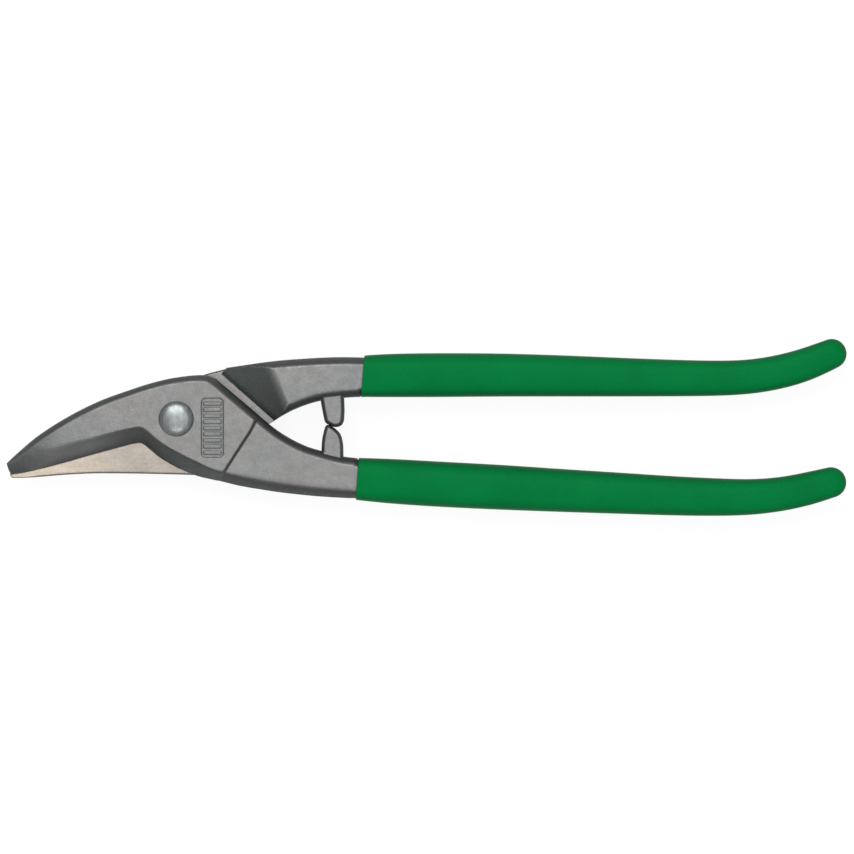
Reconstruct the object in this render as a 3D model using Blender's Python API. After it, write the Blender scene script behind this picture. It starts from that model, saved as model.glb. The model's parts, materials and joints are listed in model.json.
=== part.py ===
"""Plain-lever sheet-metal snips with a curved jaw, lying flat and closed.

+X runs along the handles, +Y goes from the lower handle to the upper one and +Z is the pivot axis,
towards the domed head. The pivot axis is x = y = 0 and z = 0 is the end face of the pivot bolt.
The front half sits above the shear plane around the pivot, the rear half below it.
"""
import math

import bmesh
import bpy
from mathutils import Vector
from mathutils.geometry import interpolate_bezier

MM = 0.001

# Levels, in millimetres above the end face of the bolt.
Z_SHEAR = 11.5
SHEAR_GAP = 0.12
PLATE = 5.3
SHANK = 4.7
STOP = 3.0
RAMP_WALL = 0.7

# Rounded edges and the overlap of a plate past the shear plane before the other side is cut free.
PLATE_EDGE = 1.0
FRONT_SHANK_EDGE = 1.2
REAR_SHANK_EDGE = 1.4
STOP_EDGE = 0.3
PLATE_OVERLAP = 1.5

# Cutters: how far they reach past the metal, and the wedge that thins the jaw tips.
CUT_REACH = 90
CUT_HEIGHT = 9
CUT_BELOW = -2
CUT_ABOVE = 20
TAPER_SIDE = 60
TAPER_HEIGHT = 10
TAPER_DROP = 4.8
TAPER_AT = (-58, -12)

# Distances of the joint's straight edges from the pivot axis, and the angles of their normals.
STEP_AT = 21.36
RAMP_END = 30.9
REAR_STEP_ANGLE = math.atan2(0.748, 0.663)
FRONT_STEP_ANGLE = math.atan2(-0.799, 0.602)

# Pivot.
HEAD_RADIUS = 5.7
HEAD_HEIGHT = 2.1
HEAD_RIM = 0.7
HEAD_GAP = 0.1
NECK_SIDE = 7.5
NECK_HOLE_SIDE = 7.8
NECK_CORNER = 0.6
NECK_HOLE_CORNER = 0.75
NECK_CORE_RADIUS = 3.2
JOURNAL_RADIUS = 3.75
REAR_HOLE_RADIUS = 3.84
THREAD_RADIUS = 3.4
NUT_BORE_RADIUS = 3.55
NUT_FLATS = 13.0
NUT_BOTTOM = 1.0
NUT_TOP = 5.0
WASHER_RADIUS = 7.6
WASHER_BOTTOM = 5.05
WASHER_TOP = 6.05
WASHER_BORE_RADIUS = 3.65
WASHER_EDGE = 0.2

# Handles: half widths are given with the centre lines below.
GRIP_WALL = 0.75
GRIP_GAP = 0.2
GRIP_FLATNESS = 0.86
TANG_FLATNESS = 0.72
BORE_FLATNESS = 0.75
TANG_START = 51.0
BORE_LEAD = 6

# Outlines, in millimetres from the pivot axis.
FRONT_JAW_TOP = [(-55.7, -14.6), (-51.8, -10.6), (-44.9, -4.9), (-35, 1.3), (-25.2, 6.1),
                 (-15.4, 9.7), (-2.3, 13.4), (4.3, 14.3), (8.9, 14.7)]
FRONT_SHOULDER = [(8.9, 14.7), (10.6, 14.4), (12.4, 13.1)]
FRONT_PLATE_END = [(28.5, -0.6), (13.3, -20.2)]
FRONT_EDGE = [(13.3, -20.2), (7.2, -18.6), (-0.3, -15.3), (-5.3, -12.6), (-8.8, -9.8),
              (-11.3, -7.9), (-12.8, -7.5), (-14.9, -7.8)]
FRONT_CUTTING = [(-14.9, -7.8), (-27.9, -11.2), (-37.9, -14.1), (-48, -16.8), (-54.9, -17.8)]
FRONT_SHANK_TOP = [(29, -1.0), (30.5, -1.7), (33.8, -4.1), (37.1, -6.0), (43.6, -9.2),
                   (46.9, -10.1), (52, -11.6), (58.4, -12.7)]
FRONT_SHANK_LOW = [(58.0, -26.1), (46.9, -25.5), (33.8, -24.1), (24, -22.6), (17.4, -21.2),
                   (13.6, -20.3)]
FRONT_SHANK_ROOT = [(9.5, -16.0), (25.0, -1.5)]

REAR_JAW_LOW = [(-54.05, -19.4), (-44.9, -19.05), (-31.8, -18.1), (-25.2, -17.9), (-12.1, -18),
                (1, -18.3), (7.6, -18.5)]
REAR_CORNER = [(7.6, -18.5), (9.8, -17.7), (11.5, -15.7), (13.2, -12.7)]
REAR_PLATE_END = [(28.0, -2.45), (16.1, 16.6)]
REAR_HEAD_TOP = [(16.1, 16.6), (10.9, 15.1), (5, 13.3), (-1, 12.2), (-7, 9.8), (-11.5, 5.5),
                 (-13.2, 0.5), (-12.9, -3.2), (-14.8, -5.9)]
REAR_CUTTING = [(-14.8, -5.9), (-27.9, -9.7), (-37.9, -12.8), (-48, -15.7), (-54.4, -16.9)]
REAR_SHANK_LOW = [(29.4, -1.9), (30.5, -1.6), (33.8, 0.5), (37.1, 2.3), (43.6, 4.9), (46.9, 5.8),
                  (53, 6.7), (60.6, 7.0)]
REAR_SHANK_TOP = [(60.6, 20.75), (46.9, 20.3), (33.8, 19.4), (24, 18.1), (17.4, 17.0),
                  (16.2, 16.6)]
REAR_SHANK_ROOT = [(12.5, 12.0), (26.0, -1.2)]

FRONT_STOP = [(47.2, -12), (47.7, -6.5), (48.3, -3.6), (49.3, -1.95), (51.3, -2.72), (53.4, -4.7),
              (54.9, -13.5)]
REAR_STOP = [(46.9, 8), (47.6, 3.0), (48.7, -1.5), (51.8, -2.7), (54.6, -1.3), (55.1, 1.3),
             (54.8, 8)]

# The cutting bevel: (edge x, edge y, height above the shear plane, ridge x, ridge y, ridge height).
FRONT_BEVEL = [(-58.5, -18.4, 0.45, -58.8, -13.4, 4.3), (-48, -16.8, 0.45, -49.4, -12.1, 4.6),
               (-37.9, -14.1, 0.45, -39.2, -9.3, 5.1), (-27.9, -11.2, 0.45, -29.1, -6.4, 5.3),
               (-17.8, -8.5, 0.45, -18.4, -3.6, 5.3), (-14.9, -7.8, 0.45, -15.1, -2.2, 5.3),
               (-12.8, -7.5, 0.45, -12.5, -1.9, 5.3), (-11.3, -7.9, 0.45, -10.4, -3.0, 5.3),
               (-8.8, -9.8, 0.45, -7.2, -5.9, 5.3), (-5.3, -12.6, 0.45, -3.3, -8.4, 5.3),
               (-0.3, -15.3, 0.45, 1.4, -11.0, 5.3), (4.7, -17.6, 0.6, 6.3, -13.4, 5.3),
               (10.9, -19.4, 0.9, 12.2, -16.1, 5.1), (17.4, -21.2, 1.4, 18.4, -17.9, 4.7),
               (27.2, -23.1, 1.7, 27.9, -19.8, 4.7), (46.9, -25.5, 1.9, 47.1, -22.6, 4.7),
               (60.5, -26.4, 2.2, 60.5, -23.9, 4.7)]
REAR_BEVEL = [(-58.5, -17.4, 0.45, -58.3, -19.8, 3.6), (-48, -15.7, 0.45, -47.3, -19.2, 4.2),
              (-37.9, -12.8, 0.45, -36.8, -16.7, 5.3), (-27.9, -9.7, 0.45, -26.7, -14.0, 5.3),
              (-17.8, -6.7, 0.45, -16.6, -11.2, 5.3), (-14.8, -5.9, 0.45, -12.9, -10.2, 5.3),
              (-13.0, -3.2, 0.6, -9.8, -5.2, 5.3), (-13.4, -1.0, 1.6, -10.4, -1.6, 5.3),
              (-14.2, 1.0, 3.4, -12.2, 1.2, 5.3)]

# Handle centre lines with the half width of the sleeve: (x, y, half width).
UPPER_LINE = [(61.0, 14.05, 7.1), (73, 14.35, 7.35), (86, 14.45, 7.35), (106, 14.4, 7.15),
              (126, 14.15, 6.85), (145, 13.75, 6.45), (165, 13.45, 6.05), (181, 13.4, 5.8),
              (188, 13.8, 5.65), (195, 14.8, 5.5), (202, 16.3, 5.4), (208.5, 18.6, 5.3),
              (214.6, 21.2, 4.8)]
LOWER_LINE = [(59.2, -19.6, 7.1), (73, -20.5, 7.4), (86, -21.3, 7.4), (106, -22.3, 7.35),
              (126, -23.35, 7.05), (145, -24.25, 6.75), (165, -25.2, 6.35), (178, -25.6, 6.1),
              (188, -25.6, 5.8), (195, -25.1, 5.6), (202, -24.1, 5.45), (208.5, -22.5, 5.3),
              (214.4, -20.8, 4.9)]


def named_material(name, colour, metallic, roughness):
    """A Principled material of one colour."""
    material = bpy.data.materials.new(name)
    material.use_nodes = True
    shader = material.node_tree.nodes["Principled BSDF"]
    shader.inputs["Base Color"].default_value = (*colour, 1.0)
    shader.inputs["Metallic"].default_value = metallic
    shader.inputs["Roughness"].default_value = roughness
    return material


def through(points, step):
    """Points about `step` apart on a smooth curve through the given points, of any dimension."""
    pts = [Vector(p).resized(3) if len(p) == 2 else Vector(p) for p in points]
    slopes = []
    for i, point in enumerate(pts):
        before = pts[max(i - 1, 0)]
        after = pts[min(i + 1, len(pts) - 1)]
        span = (point - before).length + (after - point).length
        slopes.append((after - before) / span)
    out = [pts[0]]
    for i in range(len(pts) - 1):
        a, b = pts[i], pts[i + 1]
        third = (b - a).length / 3
        count = max(1, round((b - a).length / step))
        out += interpolate_bezier(a, a + slopes[i] * third, b - slopes[i + 1] * third, b,
                                  count + 1)[1:]
    return out


def outline(*runs, step=3.4):
    """One closed outline from runs of points; a run of two points is a straight line."""
    points = []
    for run in runs:
        dense = through(run, step) if len(run) > 2 else [Vector((*p, 0)) for p in run]
        for point in dense:
            if not points or (point - points[-1]).length > 0.05:
                points.append(point)
    if (points[0] - points[-1]).length <= 0.05:
        points.pop()
    return points


def finish(bm, name, collection, material=None):
    """Turn a bmesh in millimetres into an object in metres."""
    bmesh.ops.remove_doubles(bm, verts=bm.verts, dist=0.00005)
    bmesh.ops.recalc_face_normals(bm, faces=bm.faces)
    bmesh.ops.scale(bm, vec=(MM, MM, MM), verts=bm.verts)
    mesh = bpy.data.meshes.new(name)
    bm.to_mesh(mesh)
    bm.free()
    made = bpy.data.objects.new(name, mesh)
    collection.objects.link(made)
    if material:
        mesh.materials.append(material)
    else:
        made.display_type = 'WIRE'
        made.hide_render = True
    return made


def prism(points, z_low, z_high, round_low=0.0, round_high=0.0):
    """A bmesh prism standing on an outline, with its lower and upper edges rounded."""
    bm = bmesh.new()
    floor = bm.faces.new([bm.verts.new((p[0], p[1], z_low)) for p in points])
    raised = bmesh.ops.extrude_face_region(bm, geom=[floor])["geom"]
    top = [item for item in raised if isinstance(item, bmesh.types.BMVert)]
    bmesh.ops.translate(bm, verts=top, vec=(0, 0, z_high - z_low))
    for height, size in ((z_low, round_low), (z_high, round_high)):
        if size:
            ring = [e for e in bm.edges if all(abs(v.co.z - height) < 1e-4 for v in e.verts)]
            bmesh.ops.bevel(bm, geom=ring, offset=size, segments=2, profile=0.5,
                            affect='EDGES', clamp_overlap=True)
    return bm


def along(angle, distance, across, z):
    """The point at a distance from the pivot axis along a direction, and to its left."""
    cos, sin = math.cos(angle), math.sin(angle)
    return (distance * cos - across * sin, distance * sin + across * cos, z)


def joint_relief(name, angle, side, collection):
    """Cutter that takes the other half's room out of a half, with the ramp to the full shank.

    `side` is +1 to clear everything above the shear plane and -1 to clear everything below it.
    """
    profile = [(-CUT_REACH, -side * SHEAR_GAP), (STEP_AT, -side * SHEAR_GAP),
               (STEP_AT, side * RAMP_WALL), (RAMP_END, side * (SHANK + 0.03)),
               (RAMP_END, side * CUT_HEIGHT), (-CUT_REACH, side * CUT_HEIGHT)]
    bm = bmesh.new()
    near = bm.faces.new([bm.verts.new(along(angle, d, -CUT_REACH, Z_SHEAR + z))
                         for d, z in profile])
    moved = bmesh.ops.extrude_face_region(bm, geom=[near])["geom"]
    far = [item for item in moved if isinstance(item, bmesh.types.BMVert)]
    shift = Vector(along(angle, 0, 2 * CUT_REACH, 0))
    bmesh.ops.translate(bm, verts=far, vec=shift)
    return finish(bm, name, collection)


def bevel_cutter(name, stations, side, collection):
    """Cutter for a slanted bevel whose width and height change along the edge."""
    bm = bmesh.new()
    rings = []
    for ex, ey, ez, rx, ry, rz in stations:
        edge = Vector((ex, ey, Z_SHEAR + side * ez))
        ridge = Vector((rx, ry, Z_SHEAR + side * rz))
        up = ridge + (ridge - edge) * 0.35
        down = edge - (ridge - edge) * 0.6
        corner = Vector((down.x, down.y, up.z))
        rings.append([bm.verts.new(p) for p in (up, down, corner)])
    for a, b in zip(rings, rings[1:]):
        for i in range(3):
            bm.faces.new((a[i], a[(i + 1) % 3], b[(i + 1) % 3], b[i]))
    bm.faces.new(rings[0])
    bm.faces.new(rings[-1])
    return finish(bm, name, collection)


def sloped_box(name, side, collection):
    """Cutter that thins a jaw towards its tip."""
    bm = bmesh.new()
    bmesh.ops.create_cube(bm, size=1)
    bmesh.ops.scale(bm, vec=(TAPER_SIDE, TAPER_SIDE, TAPER_HEIGHT), verts=bm.verts)
    for vert in bm.verts:
        if vert.co.z < 0 and vert.co.x < 0:
            vert.co.z -= TAPER_DROP
    where = Vector((*TAPER_AT, Z_SHEAR + PLATE + TAPER_HEIGHT / 2))
    bmesh.ops.translate(bm, verts=bm.verts, vec=where)
    if side < 0:
        for vert in bm.verts:
            vert.co.z = 2 * Z_SHEAR - vert.co.z
    return finish(bm, name, collection)


def handle_stations(line, start, inset, end_inset):
    """Centre points and half widths along a handle, closed by a rounded end."""
    dense = [p for p in through(line, 9.0) if p.x >= start - 0.01]
    if dense[0].x > start + 0.5:
        slope = (dense[1] - dense[0]) / (dense[1].x - dense[0].x)
        dense.insert(0, dense[0] + slope * (start - dense[0].x))
    stations = [Vector((p.x, p.y, p.z - inset)) for p in dense]
    last = stations[-1]
    ahead = (dense[-1] - dense[-2])
    ahead.z = 0
    ahead.normalize()
    reach = last.z - end_inset
    for turn in (25, 45, 65, 80):
        rad = math.radians(turn)
        spot = last + ahead * reach * math.sin(rad)
        stations.append(Vector((spot.x, spot.y, last.z * math.cos(rad))))
    return stations


def sweep(stations, flatness, sides, name):
    """A rounded-rectangle section swept along stations (x, y, half width), as a bmesh."""
    section = bpy.data.curves.new(name + "_section", 'CURVE')
    section.dimensions = '2D'
    ring = section.splines.new('POLY')
    ring.points.add(sides - 1)
    for i in range(sides):
        turn = 2 * math.pi * (i + 0.5) / sides
        cos, sin = math.cos(turn), math.sin(turn)
        size = (abs(cos) ** 2.6 + abs(sin) ** 2.6) ** (-1 / 2.6)
        ring.points[i].co = (size * cos, size * sin * flatness, 0, 1)
    ring.use_cyclic_u = True
    section_object = bpy.data.objects.new(name + "_section", section)
    path = bpy.data.curves.new(name + "_path", 'CURVE')
    path.dimensions = '3D'
    path.twist_mode = 'Z_UP'
    path.bevel_mode = 'OBJECT'
    path.bevel_object = section_object
    path.use_fill_caps = True
    spline = path.splines.new('POLY')
    spline.points.add(len(stations) - 1)
    for point, (x, y, width) in zip(spline.points, stations):
        point.co = (x, y, Z_SHEAR, 1)
        point.radius = width
    swept = bpy.data.objects.new(name + "_path", path)
    bpy.context.scene.collection.objects.link(section_object)
    bpy.context.scene.collection.objects.link(swept)
    bpy.context.view_layer.update()
    mesh = bpy.data.meshes.new_from_object(swept.evaluated_get(
        bpy.context.evaluated_depsgraph_get()))
    bm = bmesh.new()
    bm.from_mesh(mesh)
    bpy.data.objects.remove(swept)
    bpy.data.objects.remove(section_object)
    return bm


def lathe(profile, sides=32):
    """A closed body of revolution about the pivot axis from (radius, z) points, as a bmesh."""
    bm = bmesh.new()
    verts = [bm.verts.new((r, 0, z)) for r, z in profile]
    edges = [bm.edges.new(pair) for pair in zip(verts, verts[1:])]
    if profile[0][0] > 0:
        edges.append(bm.edges.new((verts[-1], verts[0])))
    bmesh.ops.spin(bm, geom=edges, cent=(0, 0, 0), axis=(0, 0, 1), angle=2 * math.pi,
                   steps=sides, use_duplicate=False)
    bmesh.ops.remove_doubles(bm, verts=bm.verts, dist=0.001)
    return bm


def round_cutter(radius):
    """A plain cylinder on the pivot axis that passes through everything, as a bmesh."""
    return lathe([(0, CUT_BELOW), (radius, CUT_BELOW), (radius, CUT_ABOVE), (0, CUT_ABOVE)])


def square_post(side, corner, z_low, z_high):
    """A square post about the pivot axis with rounded corners, as a bmesh."""
    half = side / 2 - corner
    points = []
    for quarter in range(4):
        middle = math.radians(45 + 90 * quarter)
        cx, cy = half * math.copysign(1, math.cos(middle)), half * math.copysign(
            1, math.sin(middle))
        for part in (-45, 0, 45):
            turn = middle + math.radians(part)
            points.append((cx + corner * math.cos(turn), cy + corner * math.sin(turn)))
    return prism(points, z_low, z_high)


def combine(target, other, operation):
    """Add an exact boolean to a piece."""
    step = target.modifiers.new(other.name, 'BOOLEAN')
    step.operation = operation
    step.object = other
    step.solver = 'EXACT'


def build_front_half(parts, tools, steel):
    """The forging whose jaw and joint plate lie above the shear plane."""
    plate_points = outline(FRONT_JAW_TOP, FRONT_SHOULDER, [FRONT_SHOULDER[-1], FRONT_PLATE_END[0]],
                           FRONT_PLATE_END, FRONT_EDGE, FRONT_CUTTING)
    body = finish(prism(plate_points, Z_SHEAR - PLATE_OVERLAP, Z_SHEAR + PLATE, 0, PLATE_EDGE),
                  "front_blade_half", parts, steel)
    shank_points = outline(FRONT_SHANK_TOP, FRONT_SHANK_LOW, FRONT_SHANK_ROOT)
    shank = finish(prism(shank_points, Z_SHEAR - SHANK, Z_SHEAR + SHANK, FRONT_SHANK_EDGE,
                         FRONT_SHANK_EDGE), "front_shank", tools)
    tang = finish(sweep(handle_stations(LOWER_LINE, TANG_START, GRIP_WALL + GRIP_GAP, 0),
                        TANG_FLATNESS, 20, "front_tang"), "front_tang", tools)
    stop = finish(prism(outline(FRONT_STOP, step=9), Z_SHEAR - STOP, Z_SHEAR + STOP, STOP_EDGE,
                        STOP_EDGE), "front_stop", tools)
    for solid in (shank, tang, stop):
        combine(body, solid, 'UNION')
    hole = finish(square_post(NECK_HOLE_SIDE, NECK_HOLE_CORNER, CUT_BELOW, CUT_ABOVE),
                  "front_square_hole", tools)
    for cutter in (joint_relief("front_joint_relief", FRONT_STEP_ANGLE, -1, tools),
                   sloped_box("front_tip_taper", 1, tools),
                   bevel_cutter("front_cutting_bevel", FRONT_BEVEL, 1, tools), hole):
        combine(body, cutter, 'DIFFERENCE')
    return body


def build_rear_half(parts, tools, steel):
    """The forging whose jaw and joint plate lie below the shear plane."""
    plate_points = outline(REAR_JAW_LOW, REAR_CORNER, [REAR_CORNER[-1], REAR_PLATE_END[0]],
                           REAR_PLATE_END, REAR_HEAD_TOP, REAR_CUTTING)
    body = finish(prism(plate_points, Z_SHEAR - PLATE, Z_SHEAR + PLATE_OVERLAP, PLATE_EDGE, 0),
                  "rear_blade_half", parts, steel)
    shank_points = outline(REAR_SHANK_LOW, REAR_SHANK_TOP, REAR_SHANK_ROOT)
    shank = finish(prism(shank_points, Z_SHEAR - SHANK, Z_SHEAR + SHANK, REAR_SHANK_EDGE,
                         REAR_SHANK_EDGE), "rear_shank", tools)
    tang = finish(sweep(handle_stations(UPPER_LINE, TANG_START, GRIP_WALL + GRIP_GAP, 0),
                        TANG_FLATNESS, 20, "rear_tang"), "rear_tang", tools)
    stop = finish(prism(outline(REAR_STOP, step=9), Z_SHEAR - STOP, Z_SHEAR + STOP, STOP_EDGE,
                        STOP_EDGE), "rear_stop", tools)
    for solid in (shank, tang, stop):
        combine(body, solid, 'UNION')
    hole = finish(round_cutter(REAR_HOLE_RADIUS), "rear_round_hole", tools)
    for cutter in (joint_relief("rear_joint_relief", REAR_STEP_ANGLE, 1, tools),
                   sloped_box("rear_tip_taper", -1, tools),
                   bevel_cutter("rear_cutting_bevel", REAR_BEVEL, -1, tools), hole):
        combine(body, cutter, 'DIFFERENCE')
    return body


def build_grip(name, line, parts, tools, plastic):
    """A dipped sleeve: a swept body with a bore that follows the tang."""
    start = line[0][0]
    body = finish(sweep(handle_stations(line, start, 0, 0), GRIP_FLATNESS, 20, name),
                  name, parts, plastic)
    bore = finish(sweep(handle_stations(line, start - BORE_LEAD, GRIP_WALL, 0), BORE_FLATNESS, 20,
                        name + "_bore"), name + "_bore", tools)
    combine(body, bore, 'DIFFERENCE')
    return body


def build_pivot(parts, tools, steel):
    """Bolt, washer and nut on the pivot axis."""
    seat = Z_SHEAR + PLATE + HEAD_GAP
    cap = []
    for turn in range(0, 91, 15):
        rad = math.radians(turn)
        cap.append(((HEAD_RADIUS - 0.2) * math.cos(rad),
                    seat + HEAD_RIM + (HEAD_HEIGHT - HEAD_RIM) * math.sin(rad)))
    cap[-1] = (0, seat + HEAD_HEIGHT)
    neck_end = Z_SHEAR + SHEAR_GAP + 0.6
    stem = [(0, 0), (THREAD_RADIUS - 0.5, 0), (THREAD_RADIUS, 0.5), (THREAD_RADIUS, WASHER_TOP),
            (JOURNAL_RADIUS, WASHER_TOP + 0.4), (JOURNAL_RADIUS, neck_end + 0.8),
            (NECK_CORE_RADIUS, neck_end + 0.8), (NECK_CORE_RADIUS, seat),
            (HEAD_RADIUS - 0.1, seat), (HEAD_RADIUS, seat + 0.15)]
    bolt = finish(lathe(stem + cap), "pivot_bolt", parts, steel)
    neck = finish(square_post(NECK_SIDE, NECK_CORNER, neck_end, seat + 0.3), "bolt_neck", tools)
    combine(bolt, neck, 'UNION')
    washer = [(WASHER_BORE_RADIUS, WASHER_BOTTOM), (WASHER_RADIUS - WASHER_EDGE, WASHER_BOTTOM),
              (WASHER_RADIUS, WASHER_BOTTOM + WASHER_EDGE), (WASHER_RADIUS, WASHER_TOP),
              (WASHER_BORE_RADIUS, WASHER_TOP)]
    finish(lathe(washer), "pivot_washer", parts, steel)
    corner = NUT_FLATS / math.sqrt(3)
    hexagon = [(corner * math.cos(math.radians(60 * i)), corner * math.sin(math.radians(60 * i)))
               for i in range(6)]
    nut = finish(prism(hexagon, NUT_BOTTOM, NUT_TOP), "pivot_nut", parts, steel)
    rim = NUT_FLATS / 2 - 0.1
    turned = [(0, NUT_BOTTOM - 0.2), (rim - 0.34, NUT_BOTTOM - 0.2), (corner + 0.1, NUT_BOTTOM + 0.7),
              (corner + 0.1, NUT_TOP - 0.7), (rim - 0.34, NUT_TOP + 0.2), (0, NUT_TOP + 0.2)]
    combine(nut, finish(lathe(turned), "nut_chamfers", tools), 'INTERSECT')
    combine(nut, finish(round_cutter(NUT_BORE_RADIUS), "nut_bore", tools), 'DIFFERENCE')


def main():
    """Build the seven pieces, each in its own short function."""
    for old in list(bpy.data.objects):
        bpy.data.objects.remove(old)
    parts = bpy.data.collections.new("sheet_metal_snips")
    tools = bpy.data.collections.new("cutters")
    for collection in (parts, tools):
        bpy.context.scene.collection.children.link(collection)
    steel = named_material("blasted_steel", (0.33, 0.34, 0.33), 1.0, 0.5)
    rear_steel = named_material("ground_steel", (0.55, 0.52, 0.47), 1.0, 0.4)
    bolt_steel = named_material("bolt_steel", (0.5, 0.51, 0.51), 1.0, 0.3)
    plastic = named_material("green_grip", (0.0, 0.22, 0.05), 0.0, 0.45)
    build_front_half(parts, tools, steel)
    build_rear_half(parts, tools, rear_steel)
    build_pivot(parts, tools, bolt_steel)
    build_grip("lower_grip", LOWER_LINE, parts, tools, plastic)
    build_grip("upper_grip", UPPER_LINE, parts, tools, plastic)


main()
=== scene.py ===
"""Looks for the sheet-metal snips: forged and ground steel halves, a bolted pivot, dipped grips.

Shapes are worked out in millimetres from the pivot axis, with heights above the shear plane, and
turned into metres in the frame of the CAD model when a mesh is made.
"""

import json
import math

import bmesh
import bpy
import numpy as np
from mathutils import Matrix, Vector, kdtree
from mathutils.geometry import delaunay_2d_cdt


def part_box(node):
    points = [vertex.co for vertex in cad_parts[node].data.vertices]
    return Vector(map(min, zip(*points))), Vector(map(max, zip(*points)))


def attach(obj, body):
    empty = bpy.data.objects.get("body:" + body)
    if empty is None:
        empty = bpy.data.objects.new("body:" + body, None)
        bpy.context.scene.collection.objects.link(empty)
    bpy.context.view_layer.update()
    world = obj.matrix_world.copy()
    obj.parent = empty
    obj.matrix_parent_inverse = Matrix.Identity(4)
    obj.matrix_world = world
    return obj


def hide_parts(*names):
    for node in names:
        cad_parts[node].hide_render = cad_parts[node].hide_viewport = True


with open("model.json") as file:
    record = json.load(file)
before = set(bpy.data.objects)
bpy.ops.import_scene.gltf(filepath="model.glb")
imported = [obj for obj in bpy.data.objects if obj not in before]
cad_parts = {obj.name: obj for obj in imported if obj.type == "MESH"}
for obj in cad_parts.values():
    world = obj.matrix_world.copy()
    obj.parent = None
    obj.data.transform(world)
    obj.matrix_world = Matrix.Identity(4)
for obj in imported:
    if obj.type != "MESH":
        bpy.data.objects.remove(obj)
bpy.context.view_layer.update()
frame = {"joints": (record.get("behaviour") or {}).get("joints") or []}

MM = 0.001
Z_SHEAR = frame["joints"][0]["pos_m"][2]


def height_of(node, corner):
    """Lowest (0) or highest (1) level of a CAD node above the shear plane, in millimetres."""
    return (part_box(node)[corner].z - Z_SHEAR) / MM


PLATE = height_of("front_blade_half", 1)
SHANK = PLATE - 0.8
STOP = 3.0
SHEAR_GAP = 0.12
FRONT_RELIEF_AT = 21.36
REAR_RELIEF_AT = 20.78
RAMP_END_AT = 35.9
RAMP_END_TILT = 0.38
RAMP_WALL = 0.8
RIDGE_ROUND = 0.3
# Level that the cutting bevel's oxide and painted shade ease to towards the tip.
BEVEL_SHADE_NEAR_TIP = 0.16
# How dark slopes and walls get: part forging oxide, part painted shade.
OXIDE_AND_SHADE_SHARE = 0.74
# Painted shade on the inner ramp beyond the strip by the small wall.
RAMP_PAINTED_SHADE = 0.8
RAMP_SOFT = 0.45
WALL_FROM = -0.02
WALL_TO = 0.1
REAR_HOLE = 3.84
NECK_HOLE = 3.9
FRONT_RELIEF_NORMAL = (0.602, -0.799)
REAR_RELIEF_NORMAL = (0.663, 0.748)
EDGE_POWER = 1.35
EDGE_DEPTH = 0.95
ON_OUTLINE = 0.002
JAW_THINNING = 2.5
FORGED_SHARP = 38
TIP_SHADE = 0.65

# Rings about the pivot axis.
RING_SHARP = 35
ROUND_COUNT = 96
HEAD_RADIUS = 5.7
HEAD_POWER = 2.25
JOURNAL_RADIUS = 3.75
SECTION_COUNT = 72

# ---------------------------------------------------------------- outlines
# Runs are (points, width of the rounded edge on the outer face). Two points make a straight run.
FRONT_PLATE = [
    ([(-55.7, -14.6, 0.9), (-51.7, -10.85, 1.6), (-44.8, -5.15, 2.0), (-34.9, 1.02, 2.1),
      (-25.1, 5.85, 2.1), (-15.3, 9.42, 2.1), (-8.7, 11.55, 2.1), (-2.2, 13.15, 2.1),
      (4.3, 14.1, 2.2), (7.6, 14.33, 2.3)], None),
    ([(7.6, 14.33, 2.3), (10.3, 14.15, 2.4), (12.65, 13.2, 2.6)], None),
    ([(12.65, 13.2), (27.2, 0.9)], 2.6),
    ([(27.2, 0.9, 2.6), (27.6, 0.2, 2.4), (27.1, -0.85, 2.1)], None),
    ([(27.1, -0.85, 2.1), (26.1, -2.35, 1.6), (24.7, -4.45, 1.25), (22.6, -7.6, 1.2)], None),
    ([(22.6, -7.6), (14.9, -19.6)], 1.2),
    ([(14.9, -19.6, 1.2), (14.4, -20.1, 0.8), (13.3, -20.28, 0.0)], None),
    ([(13.3, -20.28), (7.1, -18.88), (4.6, -17.93), (-0.45, -15.68), (-5.5, -12.7), (-9.0, -9.85),
      (-11.1, -8.2), (-12.3, -7.85)], 0.0),
    ([(-12.3, -7.85), (-14.9, -8.3), (-27.9, -11.8), (-37.9, -14.65), (-48, -17.2),
      (-54.4, -18.35)], 0.0),
    ([(-54.4, -18.35), (-55.1, -16.7), (-55.7, -14.6)], 0.5),
]
FRONT_SHANK = [
    ([(23.5, 3.95), (27.6, 0.48)], 2.6),
    ([(27.6, 0.48), (29.5, -1.1), (31.5, -2.7), (33.6, -4.25), (36.9, -6.3), (40.2, -8.0),
      (43.5, -9.38), (46.9, -10.4), (50.5, -11.45), (54.5, -12.35), (59.0, -12.9)], 2.6),
    ([(59.0, -12.9), (59.5, -13.45), (62.3, -13.65)], 2.6),
    ([(62.3, -13.65), (61.6, -25.75)], 0.3),
    ([(61.6, -25.75), (59.3, -25.95), (56.7, -26.0), (46.9, -25.45), (40.35, -24.85), (33.8, -24.1),
      (27.2, -23.1), (20.7, -22.0), (17.4, -21.2), (13.3, -20.2)], 0.0),
    ([(13.3, -20.2), (9.5, -16.0)], 0.0),
    ([(9.5, -16.0), (23.5, 3.95)], 2.7),
]
FRONT_STOP = [
    ([(47.35, -12.5), (47.6, -7.0), (48.2, -4.0)], 1.15),
    ([(48.2, -4.0), (48.7, -2.5), (49.45, -1.95), (50.4, -2.25), (52.0, -3.3), (53.4, -4.7),
      (54.1, -6.2)], 1.15),
    ([(54.1, -6.2), (54.5, -8.6), (54.6, -13.5)], 1.15),
    ([(54.6, -13.5), (47.35, -12.5)], 0.0),
]
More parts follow.
